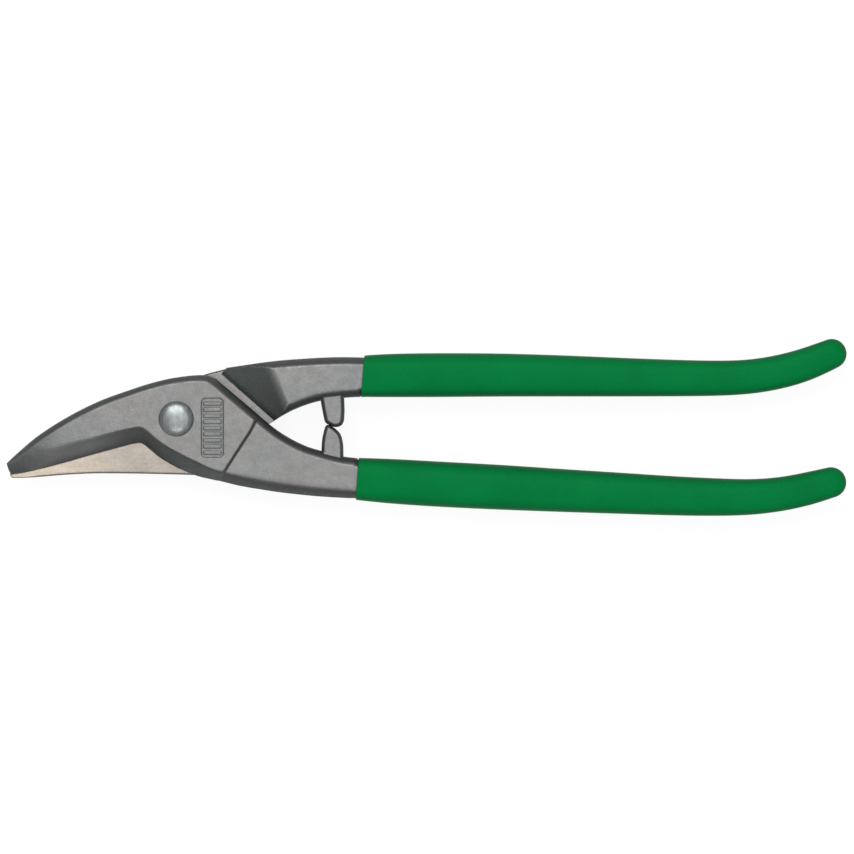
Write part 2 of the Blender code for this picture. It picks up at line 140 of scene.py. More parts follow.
REAR_PLATE = [
    ([(-54.05, -19.4, 0.3), (-50, -19.35, 0.3), (-44.9, -19.05, 0.6), (-38.3, -18.5, 1.0),
      (-31.8, -18.1, 1.2), (-25.2, -17.9, 1.3), (-12.1, -18.0, 1.4), (1, -18.3, 1.4),
      (6.6, -18.5, 1.4)], None),
    ([(6.6, -18.5), (9.4, -17.9), (11.4, -15.9), (13.1, -12.95)], 1.4),
    ([(13.1, -12.95), (27.9, -2.6)], 1.4),
    ([(27.9, -2.6), (16.2, 16.4)], 0.75),
    ([(16.2, 16.4), (10.9, 15.05), (5, 13.3), (-1, 12.2), (-7, 9.8), (-11.3, 5.5),
      (-13.3, 0.5), (-13.2, -3.2), (-14.6, -5.8)], 1.2),
    ([(-14.6, -5.8), (-27.9, -9.7), (-37.9, -12.8), (-48, -15.8), (-54.6, -17.3)], 0.0),
    ([(-54.6, -17.3), (-54.7, -18.5), (-54.05, -19.4)], 0.3),
]
REAR_SHANK = [
    ([(24.0, -0.4), (28.9, -2.2)], 0.6),
    ([(28.9, -2.2, 0.9), (30.6, -1.5, 2.0), (33.8, 0.55, 3.4), (37.1, 2.35, 4.3),
      (40.35, 3.8, 4.6), (43.6, 4.95, 4.5), (46.9, 5.85, 4.2), (51.5, 6.55, 3.6),
      (56.7, 7.0, 3.2), (60.1, 7.15, 2.8)], None),
    ([(60.1, 7.15), (60.6, 7.7), (62.8, 7.75)], 2.8),
    ([(62.8, 7.75), (64.3, 19.75)], 0.3),
    ([(64.3, 19.75), (61.6, 20.05), (53.5, 20.2), (46.9, 20.0), (40.35, 19.6), (33.8, 19.1),
      (27.2, 18.3), (20.7, 17.35), (16.4, 16.7)], 3.1),
    ([(16.4, 16.75), (12.5, 12.0)], 0.0),
    ([(12.5, 12.0), (24.0, -0.4)], 0.0),
]
REAR_STOP = [
    ([(47.0, 8.0), (47.3, 5.0), (47.95, 1.5), (48.4, -0.7)], 1.6),
    ([(48.4, -0.7), (48.9, -1.45), (49.7, -1.9), (51.2, -2.6), (52.6, -2.7), (54.1, -2.0),
      (54.8, -0.6)], 1.4),
    ([(54.8, -0.6), (54.97, 2.5), (54.8, 8.0)], 1.6),
    ([(54.8, 8.0), (47.0, 8.0)], 0.0),
]

# The cutting bevel: (edge x, y, height; ridge x, y; fullness, 1 for a flat bevel).
FRONT_BEVEL = [
    (-54.9, -18.55, 0.35, -56.2, -14.2, 1.2), (-48, -17.2, 0.35, -49.6, -9.6, 1.25),
    (-37.9, -14.65, 0.35, -39.0, -8.2, 1.2), (-27.9, -11.8, 0.35, -28.7, -6.15, 1.1),
    (-20.5, -9.78, 0.35, -20.6, -4.0, 1.05), (-14.9, -8.3, 0.35, -14.4, -2.7, 1.0),
    (-12.3, -7.85, 0.35, -11.7, -2.35, 1.0), (-11.1, -8.2, 0.35, -10.0, -3.3, 1.0),
    (-9.0, -9.85, 0.35, -7.4, -5.6, 1.0), (-5.5, -12.7, 0.35, -3.4, -8.5, 1.0),
    (-0.45, -15.68, 0.35, 1.4, -11.2, 1.0), (4.6, -17.93, 0.5, 6.4, -13.6, 1.05),
    (10.4, -19.68, 0.8, 11.9, -16.1, 1.15), (17.4, -21.2, 1.2, 18.4, -17.3, 1.4),
    (27.2, -23.1, 1.4, 28.0, -18.5, 1.7), (40.35, -24.85, 1.5, 40.8, -20.2, 1.9),
    (56.7, -26.0, 1.7, 56.9, -21.7, 2.0), (64.0, -26.1, 1.8, 64.1, -21.8, 2.0),
]
REAR_BEVEL = [
    (-55.2, -17.5, 0.35, -55.0, -19.0, 1.0), (-48, -15.8, 0.35, -47.2, -18.6, 1.0),
    (-37.9, -12.8, 0.35, -36.8, -16.6, 1.0), (-27.9, -9.7, 0.35, -26.7, -14.0, 1.0),
    (-17.8, -6.7, 0.35, -16.6, -11.0, 1.0), (-14.6, -5.8, 0.35, -12.7, -9.6, 1.0),
    (-13.2, -3.2, 0.5, -9.9, -5.1, 1.0), (-13.3, 0.5, 1.6, -10.6, 0.2, 1.1),
    (-12.3, 3.6, 3.0, -10.6, 2.8, 1.2),
]

# Handle centre lines: (x, y, half width of the sleeve).
UPPER_LINE = [
    (60.9, 13.97, 6.85), (66, 14.12, 7.02), (73, 14.24, 7.14), (86, 14.32, 7.2),
    (106, 14.34, 7.06), (126, 14.06, 6.76), (145, 13.66, 6.36), (165, 13.33, 5.96),
    (178, 13.29, 5.76), (188, 13.69, 5.61), (195, 14.8, 5.6), (202, 16.35, 5.5),
    (208.5, 18.6, 5.35), (214.6, 21.3, 4.9)]
LOWER_LINE = [
    (59.1, -19.7, 6.92), (64, -20.05, 7.15), (73, -20.64, 7.36), (86, -21.44, 7.42),
    (106, -22.44, 7.35), (126, -23.49, 7.05), (145, -24.39, 6.75), (165, -25.34, 6.4),
    (178, -25.69, 6.15), (188, -25.74, 5.85), (195, -25.15, 5.65), (202, -24.1, 5.5),
    (208.5, -22.5, 5.4), (214.4, -20.85, 5)]
GRIP_FLATNESS = 0.86
TANG_FLATNESS = 0.72
TANG_INSET = 0.95
TANG_START = 58.6
GRIP_WALL = 0.75
BORE_FLATNESS = 0.75
POCKET = 2.9
LIP_ROUND = 0.35
RELAX_OVER = 40.0

# Colours, linear.
FLAT_WARM = (0.242, 0.231, 0.225)
FLAT_COOL = (0.216, 0.226, 0.226)
# Slope colours: darker forging oxide and painted shade.
OXIDE_AND_SHADE_WARM = (0.05, 0.055, 0.052)
OXIDE_AND_SHADE_COOL = (0.034, 0.048, 0.047)
GROUND_WARM = (0.5, 0.435, 0.355)
GROUND_COOL = (0.49, 0.42, 0.348)
BOLT_COLOUR = (0.29, 0.31, 0.315)
# Painted shade for the bolt's steep parts.
RIM_PAINTED_SHADE = (0.1, 0.115, 0.115)
GREEN_DEEP = (0.0, 0.168, 0.038)
GREEN_LIGHT = (0.0, 0.192, 0.045)
# Painted shade for the sleeves' steep sides.
GREEN_PAINTED_SHADE = (0.003, 0.128, 0.033)
FLOOR_COLOUR = (0.14, 0.14, 0.14)
FLOOR_GLOW = 0.9
HORIZON = (0.16, 0.16, 0.16)
ZENITH = (0.72, 0.72, 0.72)
WHITE = (1.0, 1.0, 1.0)
BAND_FULL = 0.1
BAND_END = 0.16

# The camera and the point that the lights face, in metres.
FRAME_WIDTH = 0.27994
FRAME_CENTRE = (0.08198, -0.00269)
LENS = 250
SENSOR = 36
LIGHT_AIM = (0.05, 0, 0)


# ---------------------------------------------------------------- curves and distances
def smooth_run(points, step):
    """Points about `step` apart on a smooth curve through the given ones, of any dimension."""
    p = np.array(points, float)
    chords = np.linalg.norm(np.diff(p[:, :2], axis=0), axis=1)
    slope = np.empty_like(p)
    slope[1:-1] = (p[2:] - p[:-2]) / (chords[1:] + chords[:-1])[:, None]
    slope[0] = (p[1] - p[0]) / chords[0]
    slope[-1] = (p[-1] - p[-2]) / chords[-1]
    out = [p[:1]]
    for i, length in enumerate(chords):
        t = np.linspace(0, 1, max(1, round(length / step)) + 1)[1:, None]
        rise = t * t * (3 - 2 * t)
        out.append(p[i] * (1 - rise) + p[i + 1] * rise
                   + length * slope[i] * t * (1 - t) ** 2
                   - length * slope[i + 1] * t * t * (1 - t))
    return np.vstack(out)


def ring_of(runs, step):
    """A closed outline (x, y, rounding) from its runs."""
    parts = []
    for points, rounding in runs:
        full = points if rounding is None else [(x, y, rounding) for x, y in points]
        parts.append(smooth_run(full, step)[:-1])
    return np.vstack(parts)


def near_line(xy, line, closed):
    """Distance from points to a polyline, with the line's other values at the nearest place."""
    a = line
    b = np.roll(line, -1, axis=0)
    if not closed:
        a, b = a[:-1], b[:-1]
    along = b[:, :2] - a[:, :2]
    size = np.maximum((along ** 2).sum(1), 1e-12)
    distance = np.empty(len(xy))
    values = np.empty((len(xy), line.shape[1] - 2))
    for start in range(0, len(xy), 2000):
        p = xy[start:start + 2000]
        t = ((p[:, None, :] - a[None, :, :2]) * along[None]).sum(2) / size
        t = np.clip(t, 0, 1)
        foot = a[None, :, :2] + t[..., None] * along[None]
        square = ((p[:, None, :] - foot) ** 2).sum(2)
        best = square.argmin(1)
        rows = np.arange(len(p))
        share = t[rows, best][:, None]
        distance[start:start + 2000] = np.sqrt(square[rows, best])
        values[start:start + 2000] = a[best, 2:] * (1 - share) + b[best, 2:] * share
    return distance, values


def inside(xy, ring):
    """True for the points inside a closed outline."""
    found = np.zeros(len(xy), bool)
    for (x0, y0), (x1, y1) in zip(ring[:, :2], np.roll(ring[:, :2], -1, axis=0)):
        if y0 == y1:
            continue
        crosses = (y0 > xy[:, 1]) != (y1 > xy[:, 1])
        found ^= crosses & (xy[:, 0] < (x1 - x0) * (xy[:, 1] - y0) / (y1 - y0) + x0)
    return found


def smoothstep(low, high, value):
    """0 at `low`, 1 at `high`, with a smooth change between them."""
    t = np.clip((value - low) / (high - low), 0, 1)
    return t * t * (3 - 2 * t)


def edge_drop(distance, width, depth):
    """How far a rounded edge falls below its face at a distance from the outline."""
    share = np.clip(1 - distance / np.maximum(width, 1e-6), 0, 1)
    return depth * (1 - (1 - share ** EDGE_POWER) ** (1 / EDGE_POWER))


# ---------------------------------------------------------------- forged halves
class Solid:
    """One component of a forging: an outline with its outer and inner face heights."""

    def __init__(self, ring, face, back, back_round):
        self.ring = ring
        self.face = face
        self.back = back
        self.back_round = back_round

    def heights(self, xy, forging):
        """Height of the outer face and depth of the inner face, -inf outside the outline."""
        distance, values = near_line(xy, self.ring, True)
        keep = inside(xy, self.ring) | (distance < ON_OUTLINE)
        width = values[:, 0]
        face = self.face - forging.thinning(xy)
        face = forging.bevelled(xy, face)
        top = face - edge_drop(distance, width, width * EDGE_DEPTH)
        inner = width if self.back < 0 else np.maximum(width, 0.3)
        low = np.minimum(self.back_round, inner)
        depth = self.back - edge_drop(distance, low, low * EDGE_DEPTH)
        top[~keep] = -np.inf
        depth[~keep] = -np.inf
        return top, depth


class Tang(Solid):
    """The oval bar that runs through the grip."""

    def __init__(self, line):
        stations = handle_stations(line, TANG_START, TANG_INSET, 2.5)
        left, right = bar_sides(stations)
        blunt = np.linspace(right[0], left[0], 24)[1:-1]
        ring = np.vstack([left, right[::-1], blunt])
        super().__init__(ring, 0, 1, 0)
        self.line = stations

    def heights(self, xy, forging):
        """Half the bar's thickness, the same upwards and downwards, -inf outside it."""
        distance, _ = near_line(xy, self.ring, True)
        keep = inside(xy, self.ring) | (distance < ON_OUTLINE)
        _, values = near_line(xy, self.line, False)
        half = np.maximum(values[:, 0], 0.6)
        share = np.clip(1 - distance / half, 0, 1)
        rise = 0.15 + (half * TANG_FLATNESS - 0.15) * (1 - share ** 2.4) ** (1 / 2.4)
        rise[~keep] = -np.inf
        return rise, rise.copy()


def relaxed(points, passes):
    """Points of a line evened out between its two ends."""
    points = points.copy()
    for _ in range(passes):
        points[1:-1] = (points[:-2] + 2 * points[1:-1] + points[2:]) / 4
    return points


def handle_stations(line, start, inset, step):
    """Centre points and half widths (x, y, half) along a handle, with a rounded end."""
    dense = relaxed(smooth_run(line, step), round(RELAX_OVER / step ** 2))
    if start < dense[0, 0]:
        lead = (dense[1] - dense[0]) / (dense[1, 0] - dense[0, 0])
        count = max(1, round((dense[0, 0] - start) / step))
        extra = [dense[0] + lead * (start - dense[0, 0]) * k / count for k in range(count, 0, -1)]
        dense = np.vstack([extra, dense])
    dense[:, 2] -= inset
    ahead = dense[-1] - dense[-2]
    ahead = np.array([ahead[0], ahead[1], 0]) / math.hypot(ahead[0], ahead[1])
    last = dense[-1]
    turns = np.radians(np.linspace(0, 90, 13)[1:])
    cap = [last + ahead * last[2] * math.sin(t) - np.array([0, 0, last[2] * (1 - math.cos(t))])
           for t in turns]
    return np.vstack([dense, cap])


def bar_sides(stations):
    """The two sides of a bar given by centre points and half widths."""
    ahead = np.gradient(stations[:, :2], axis=0)
    ahead /= np.linalg.norm(ahead, axis=1)[:, None]
    side = np.column_stack([-ahead[:, 1], ahead[:, 0]])
    zero = np.zeros((len(stations), 1))
    reach = stations[:, 2:3]
    left = np.hstack([stations[:, :2] + side * reach, zero])
    right = np.hstack([stations[:, :2] - side * reach, zero])
    return left, right[:-1]


class Forging:
    """One half of the tool, built as if its joint plate lay above the shear plane."""

    def __init__(self, solids, bevel, relief_angle, relief_at, ramp_angle, panel, hole):
        self.solids = solids
        self.relief = np.array([math.cos(relief_angle), math.sin(relief_angle)])
        self.relief_at = relief_at
        self.ramp_end = np.array([math.cos(ramp_angle), math.sin(ramp_angle)])
        self.panel = panel
        self.hole = hole
        stations = smooth_run([(b[0], b[1], *b[2:]) for b in bevel], 0.6)
        self.edge = stations[:, [0, 1, 2, 5]]
        self.ridge = stations[:, [3, 4]]
        self.bevel_area = np.vstack([self.edge[:, :2] + (self.edge[:, :2] - self.ridge) * 0.3,
                                     self.ridge[::-1]])

    def thinning(self, xy):
        """The jaw gets thinner towards its tip."""
        return JAW_THINNING * np.clip((-10 - xy[:, 0]) / 46, 0, 1) ** 2

    def bevelled(self, xy, face):
        """The face lowered by the cutting bevel between the ridge and the edge."""
        within = np.flatnonzero(inside(xy, self.bevel_area))
        if len(within) == 0:
            return face
        spots = xy[within]
        to_edge, values = near_line(spots, self.edge, False)
        to_ridge, _ = near_line(spots, self.ridge, False)
        share = to_edge / np.maximum(to_edge + to_ridge, 1e-9)
        low = values[:, 0]
        full = face[within] - low
        drop = full * (1 - share) ** values[:, 1]
        eased = np.hypot(drop, RIDGE_ROUND) - RIDGE_ROUND
        out = face.copy()
        out[within] -= eased * full / (np.hypot(full, RIDGE_ROUND) - RIDGE_ROUND)
        return out

    def ease_bevel_shade(self, xy, oxide_and_shade):
        """Towards the tip the cutting bevel's forging oxide and painted shade ease to an even grey,
        staying dark only at its edge.
        """
        within = np.flatnonzero(inside(xy, self.bevel_area))
        reach = near_line(xy[within], self.edge, False)[0]
        share = 0.9 * smoothstep(10, 32, -xy[within, 0]) * smoothstep(-0.6, 2.6, reach)
        out = oxide_and_shade.copy()
        out[within] = oxide_and_shade[within] * (1 - share) + BEVEL_SHADE_NEAR_TIP * share
        return out

    def ramp_share(self, xy):
        """How far along the ramp a point lies: 0 at the small wall, 1 at the full shank."""
        past_wall = np.maximum(xy @ self.relief - self.relief_at, 0)
        to_end = np.maximum(RAMP_END_AT - xy @ self.ramp_end, 0)
        return past_wall / np.maximum(past_wall + to_end, 1e-6)

    def relief_depth(self, xy):
        """How deep the inner side may go: the sliding face, the small wall and the ramp."""
        along = xy @ self.relief - self.relief_at
        ramp = RAMP_WALL + (SHANK - RAMP_WALL) * self.ramp_share(xy)
        ramp = np.where(xy @ self.ramp_end > RAMP_END_AT, SHANK, ramp)
        blend = np.clip(0.5 + 0.5 * (SHANK - ramp) / RAMP_SOFT, 0, 1)
        ramp = SHANK * (1 - blend) + ramp * blend - RAMP_SOFT * blend * (1 - blend)
        wall = smoothstep(WALL_FROM, WALL_TO, along)
        return np.where(along < WALL_TO, -SHEAR_GAP + (RAMP_WALL + SHEAR_GAP) * wall, ramp)

    def heights(self, xy):
        """Outer height and inner depth of the whole forging, in millimetres."""
        pairs = [solid.heights(xy, self) for solid in self.solids]
        top = np.max([p[0] for p in pairs], axis=0)
        depth = np.minimum(np.max([p[1] for p in pairs], axis=0), self.relief_depth(xy))
        if self.panel is not None:
            top = top - self.panel.depth(xy)
        return top, depth

    def edge_rows(self, solid):
        """Rows of points beside a solid's outline, where its edges are rounded."""
        ring = solid.ring
        ahead = np.roll(ring[:, :2], -1, axis=0) - np.roll(ring[:, :2], 1, axis=0)
        ahead /= np.maximum(np.linalg.norm(ahead, axis=1), 1e-9)[:, None]
        side = np.column_stack([ahead[:, 1], -ahead[:, 0]])
        if not inside(ring[:1, :2] + side[:1] * 0.02, ring)[0]:
            side = -side
        shown = np.ones(len(ring), bool)
        for other in self.solids:
            if other.face > solid.face:
                deep = near_line(ring[:, :2], other.ring, True)[0] > 0.8
                shown &= ~(deep & inside(ring[:, :2], other.ring))
        rows = []
        for share in (-0.3, -0.12, 0.07, 0.2, 0.35, 0.5, 0.65, 0.8, 0.92, 1.0, 1.1, 1.25):
            wide = 5.0 if isinstance(solid, Tang) else np.maximum(ring[:, 2:3], 0.8)
            reach = np.ravel(share * wide * np.ones((len(ring), 1)))
            spots = ring[:, :2] + side * reach[:, None]
            distance, _ = near_line(spots, ring, True)
            rows.append((spots[shown & (distance > 0.85 * np.abs(reach))], 0.09))
        return rows

    def plan_points(self):
        """Points for the triangles: dense where the surface bends, sparse on flats."""
        groups = [(parallel_row(self.relief, self.relief_at + reach), 0.09)
                  for reach in (-0.2, 0.3, 0.6, 1.5, 3, 4.5, 6, 7.5)]
        groups += [(parallel_row(self.ramp_end, RAMP_END_AT + reach), 0.09)
                   for reach in (-3, -2.3, -1.7, -1.2, -0.8, -0.4, 0, 0.5)]
        down = self.edge[:, :2] - self.ridge
        down /= np.maximum(np.linalg.norm(down, axis=1), 1e-9)[:, None]
        for reach in (0, -0.15, 0.15, -0.4, 0.4, 0.75, 1.2):
            groups.append((self.ridge + down * reach, 0.09))
        for solid in self.solids:
            groups += self.edge_rows(solid)
        for share in np.linspace(0.1, 0.8, 7):
            row = self.edge[:, :2] * (1 - share) + self.ridge * share
            groups.append((row, 0.2))
        if self.panel is not None:
            groups.append((self.panel.grid(), 0.16))
        groups.append((hexagon_grid(-57, 66, -33, 27, 0.75), 0.42))
        groups.append((hexagon_grid(66, 222, -33, 27, 1.9), 1.0))
        return groups

    def triangles(self):
        """Plan triangles of the whole outline: points and faces."""
        rings = [solid.ring[:, :2] for solid in self.solids]
        chosen = [tuple(p) for p in np.vstack(rings)]
        faces = []
        for ring in rings:
            start = sum(map(len, faces))
            faces.append(list(range(start, start + len(ring))))
        first = len(chosen)
        chosen += [tuple(p) for p in self.hole]
        edges = [(first + k, first + (k + 1) % len(self.hole)) for k in range(len(self.hole))]
        for reach in (WALL_FROM, WALL_TO):
            last = None
            for spot in parallel_row(self.relief, self.relief_at + reach):
                near = min(near_line(spot[None], ring, True)[0][0] for ring in rings)
                if near < 0.1 or not any(inside(spot[None], ring)[0] for ring in rings):
                    last = None
                    continue
                if last is not None:
                    edges.append((last, len(chosen)))
                last = len(chosen)
                chosen.append(tuple(spot))
        tree = kdtree.KDTree(400000)
        for i, (x, y) in enumerate(chosen):
            tree.insert((x, y, 0), i)
        for spots, gap in self.plan_points():
            spots = spots[np.any([inside(spots, ring) for ring in rings], axis=0)]
            spots = spots[~inside(spots, self.hole)]
            tree.balance()
            fresh = [p for p in map(tuple, spots) if tree.find((*p, 0))[2] >= gap]
            for p in thin_out(fresh, gap):
                tree.insert((*p, 0), len(chosen))
                chosen.append(p)
        out = delaunay_2d_cdt([Vector(p) for p in chosen], edges, faces, 1, 1e-5)
        xy = np.array([tuple(p) for p in out[0]])
        corners = np.array(out[2])
        return xy, corners[~inside(xy[corners].mean(axis=1), self.hole)]


def parallel_row(normal, distance):
    """Points along the straight line at a distance from the pivot axis."""
    across = np.arange(-30, 30, 0.4)[:, None] * np.array([-normal[1], normal[0]])
    return across + normal * distance


def thin_out(points, gap):
    """Drop the points that lie closer than `gap` to one already kept."""
    kept = {}
    out = []
    for x, y in points:
        cell = (int(x // gap), int(y // gap))
        close = any((x - q[0]) ** 2 + (y - q[1]) ** 2 < (gap * 0.8) ** 2
                    for i in (-1, 0, 1) for j in (-1, 0, 1)
                    for q in kept.get((cell[0] + i, cell[1] + j), ()))
        if not close:
            kept.setdefault(cell, []).append((x, y))
            out.append((x, y))
    return out


def hexagon_grid(x0, x1, y0, y1, pitch):
    """Points of a hexagonal grid over a box."""
    rows = []
    for k, y in enumerate(np.arange(y0, y1, pitch * 0.866)):
        x = np.arange(x0 + pitch / 2 * (k % 2), x1, pitch)
        rows.append(np.column_stack([x, np.full(len(x), y)]))
    return np.vstack(rows)


def add_attribute(mesh, name, values):
    """Store one number per vertex for the materials."""
    attribute = mesh.attributes.new(name, 'FLOAT', 'POINT')
    attribute.data.foreach_set("value", np.asarray(values, np.float32))


def vertex_slopes(mesh):
    """The vertical part of every vertex normal: 1 on level faces, 0 on walls."""
    normal = np.empty(len(mesh.vertices) * 3)
    mesh.vertex_normals.foreach_get("vector", normal)
    return normal[2::3]


def forging_mesh(name, forging, side):
    """The closed mesh of a forging. `side` is +1 when its plate lies above the shear plane.

    Attributes: the darkening mask marks slopes and walls with forging oxide and painted shade, and
    the inner ramp with painted shade; "bright" marks the ground sliding faces.
    """
    xy, corners = forging.triangles()
    used = np.unique(corners)
    renumber = np.full(len(xy), -1)
    renumber[used] = np.arange(len(used))
    xy = xy[used]
    corners = renumber[corners]
    top, depth = forging.heights(xy)
    top = np.where(np.isfinite(top), top, 1.0)
    depth = np.where(np.isfinite(depth), depth, 0.0)
    depth = np.minimum(np.maximum(depth, -top + 0.02), 9)
    count = len(xy)
    verts = np.vstack([np.column_stack([xy, side * top]), np.column_stack([xy, -side * depth])])
    if side < 0:
        corners = corners[:, ::-1]
    faces = [tuple(f) for f in corners] + [tuple(f[::-1] + count) for f in corners]
    directed = {(f[i], f[(i + 1) % 3]) for f in corners for i in range(3)}
    faces += [(b, a, a + count, b + count) for a, b in directed if (b, a) not in directed]
    mesh = bpy.data.meshes.new(name)
    verts[:, 2] += Z_SHEAR / MM
    mesh.from_pydata((verts * MM).tolist(), [], [tuple(int(i) for i in f) for f in faces])
    mesh.update()
    mesh.shade_smooth()
    mesh.set_sharp_from_angle(angle=math.radians(FORGED_SHARP))
    # Slopes and walls darkened by the vertex normal: forging oxide and painted shade.
    oxide_and_shade = OXIDE_AND_SHADE_SHARE * smoothstep(0.003, 0.22, 1 - np.abs(vertex_slopes(mesh)))
    # The sunk panel is made darker in the same oxide and painted-shade mask.
    if forging.panel is not None:
        sunk = forging.panel.depth(xy) > 0.001
        oxide_and_shade[:count][sunk] = 0.6 * oxide_and_shade[:count][sunk] + 0.15
        # Towards the tip the cutting bevel's painted shade eases to an even grey.
        oxide_and_shade[:count] = forging.ease_bevel_shade(xy, oxide_and_shade[:count])
    # Darker towards the jaw tip, in the same mask.
    tip = TIP_SHADE * smoothstep(35, 52, -xy[:, 0])
    oxide_and_shade[:count] = np.maximum(oxide_and_shade[:count], tip)
    # Painted shade on the ramp of the inner side: full beside the small wall, a little lighter
    # further on, fading out at the ramp's end.
    to_end = RAMP_END_AT - xy @ forging.ramp_end
    along = xy @ forging.relief
    ramp = (depth > RAMP_WALL - 0.01) * smoothstep(-0.6, 3.2, to_end)
    ramp *= RAMP_PAINTED_SHADE + (1 - RAMP_PAINTED_SHADE) * (1 - smoothstep(0.5, 2.0, along - forging.relief_at))
    oxide_and_shade[count:] = np.maximum(oxide_and_shade[count:], ramp)
    ground = (depth < 0) * (1 - 0.85 * smoothstep(13, 17, along))
    ground *= 1 - 0.5 * smoothstep(-48, -10, xy[:, 0])
    add_attribute(mesh, "oxide_and_shade", oxide_and_shade)
    add_attribute(mesh, "bright", np.append(np.zeros(count), ground))
    return mesh


def polar_ring(radius, power, count=64):
    """A closed outline from a circle (power 2) to a rounded square (power 8)."""
    turn = np.linspace(0, 2 * math.pi, count, endpoint=False)
    cos, sin = np.cos(turn), np.sin(turn)
    reach = radius * (np.abs(cos) ** power + np.abs(sin) ** power) ** (-1 / power)
    return np.column_stack([reach * cos, reach * sin])


class Panel:
    """A plain sunk panel with evenly spaced cross ribs, where a maker would put a mark."""

    centre = np.array([11.8, -3.0])
    half = np.array([3.75, 9.9])
    corner = 1.7
    deep = 0.26
    wall = 0.3
    rib_pitch = 2.0
    rib_half = 0.5
    rib_reach = 2.75
    ribs = 9
    rib_rise = 0.85

    def depth(self, xy):
        """How far the panel lies below the face."""
        spot = np.abs(xy - self.centre)
        past = spot - (self.half - self.corner)
        edge = np.hypot(*np.maximum(past, 0).T) + np.minimum(past.max(axis=1), 0) - self.corner
        sunk = smoothstep(0, self.wall, -edge)
        middle = self.rib_pitch * self.ribs / 2
        y = xy[:, 1] - self.centre[1] + middle
        across = np.abs(y % self.rib_pitch - self.rib_pitch / 2) - self.rib_half
        outside = np.maximum(np.maximum(across, spot[:, 0] - self.rib_reach), 0)
        raised = 1 - smoothstep(0, self.wall * 0.8, outside)
        raised = np.where(np.abs(y - middle) < middle, raised, 0)
        return self.deep * (sunk - self.rib_rise * raised * sunk)

    def grid(self):
        """Points close enough together to show the ribs."""
        low = self.centre - self.half
        high = self.centre + self.half
        return hexagon_grid(low[0] - 0.1, high[0] + 0.1, low[1] - 0.1, high[1] + 0.1, 0.22)


def front_forging():
    """The half with the upper jaw, the panel and the lower handle."""
    x, y = FRONT_RELIEF_NORMAL
    solids = [Solid(ring_of(FRONT_PLATE, 0.45), PLATE, -SHEAR_GAP, 0.0),
              Solid(ring_of(FRONT_SHANK, 0.55), SHANK, SHANK, 1.8),
              Solid(ring_of(FRONT_STOP, 0.4), STOP, STOP, 0.6), Tang(LOWER_LINE)]
    return Forging(solids, FRONT_BEVEL, math.atan2(y, x), FRONT_RELIEF_AT, -RAMP_END_TILT,
                   Panel(), polar_ring(NECK_HOLE, 8))


def rear_forging():
    """The half with the lower jaw and the upper handle."""
    x, y = REAR_RELIEF_NORMAL
    solids = [Solid(ring_of(REAR_PLATE, 0.45), PLATE, -SHEAR_GAP, 0.6),
              Solid(ring_of(REAR_SHANK, 0.55), SHANK, SHANK, 2.9),
              Solid(ring_of(REAR_STOP, 0.4), STOP, STOP, 1.3), Tang(UPPER_LINE)]
    return Forging(solids, REAR_BEVEL, math.atan2(y, x), REAR_RELIEF_AT, RAMP_END_TILT,
                   None, polar_ring(REAR_HOLE, 2))


# ---------------------------------------------------------------- pivot and sleeves
def ring_mesh(name, rings):
    """A closed mesh through rings of points in millimetres; a ring of one point is a pole."""
    verts = np.vstack(rings)
    starts = np.cumsum([0] + [len(r) for r in rings])
    faces = []
    for k in range(len(rings) - 1):
        a, b = starts[k], starts[k + 1]
        size = max(len(rings[k]), len(rings[k + 1]))
        for i in range(size):
            j = (i + 1) % size
            corners = [a + i, a + j] if len(rings[k]) > 1 else [a]
            corners += [b + j, b + i] if len(rings[k + 1]) > 1 else [b]
            faces.append(tuple(int(c) for c in corners))
    mesh = bpy.data.meshes.new(name)
    mesh.from_pydata((verts * MM).tolist(), [], faces)
    bm = bmesh.new()
    bm.from_mesh(mesh)
    bmesh.ops.recalc_face_normals(bm, faces=bm.faces)
    bm.to_mesh(mesh)
    bm.free()
    mesh.shade_smooth()
    mesh.set_sharp_from_angle(angle=math.radians(RING_SHARP))
    return mesh


def level(radius, z, power=2):
    """A ring about the pivot axis at a height above the bolt's end."""
    if radius == 0:
        return np.array([[0, 0, z]])
    flat = polar_ring(radius, power, ROUND_COUNT)
    return np.column_stack([flat, np.full(ROUND_COUNT, z)])


def bolt_mesh():
    """Domed head with a steep rim, square neck, round journal and a threaded end."""
    seat = Z_SHEAR / MM + PLATE + 0.1
    crown = height_of("pivot_bolt", 1) + Z_SHEAR / MM
    rim, foot = HEAD_RADIUS, seat + 0.12
    profile = []
    for turn in np.radians(np.linspace(0, 90, 37)):
        profile.append((rim * math.sin(turn) ** (2 / HEAD_POWER),
                        foot + (crown - foot) * math.cos(turn)))
    profile += [(rim - 0.08, seat + 0.02), (rim - 0.16, seat)]
    rings = [level(r, z) for r, z in profile]
    neck_end = Z_SHEAR / MM + SHEAR_GAP + 0.6
    rings += [level(JOURNAL_RADIUS, seat, 8), level(JOURNAL_RADIUS, neck_end, 8)]
    rings += [level(JOURNAL_RADIUS, neck_end - 0.05), level(JOURNAL_RADIUS, 6.5)]
    rings.append(level(3.4, 6.1))
    rings += thread_rings(5.9, 0.35, 3.38, 0.55, 1.0)
    rings += [level(2.75, 0.02), level(2.65, 0.0), level(0, 0.0)]
    mesh = ring_mesh("bolt", rings)
    # Steep parts, the dome's rim among them, are marked for painted shade.
    add_attribute(mesh, "rim", smoothstep(0.12, 0.75, 1 - np.abs(vertex_slopes(mesh))))
    return mesh


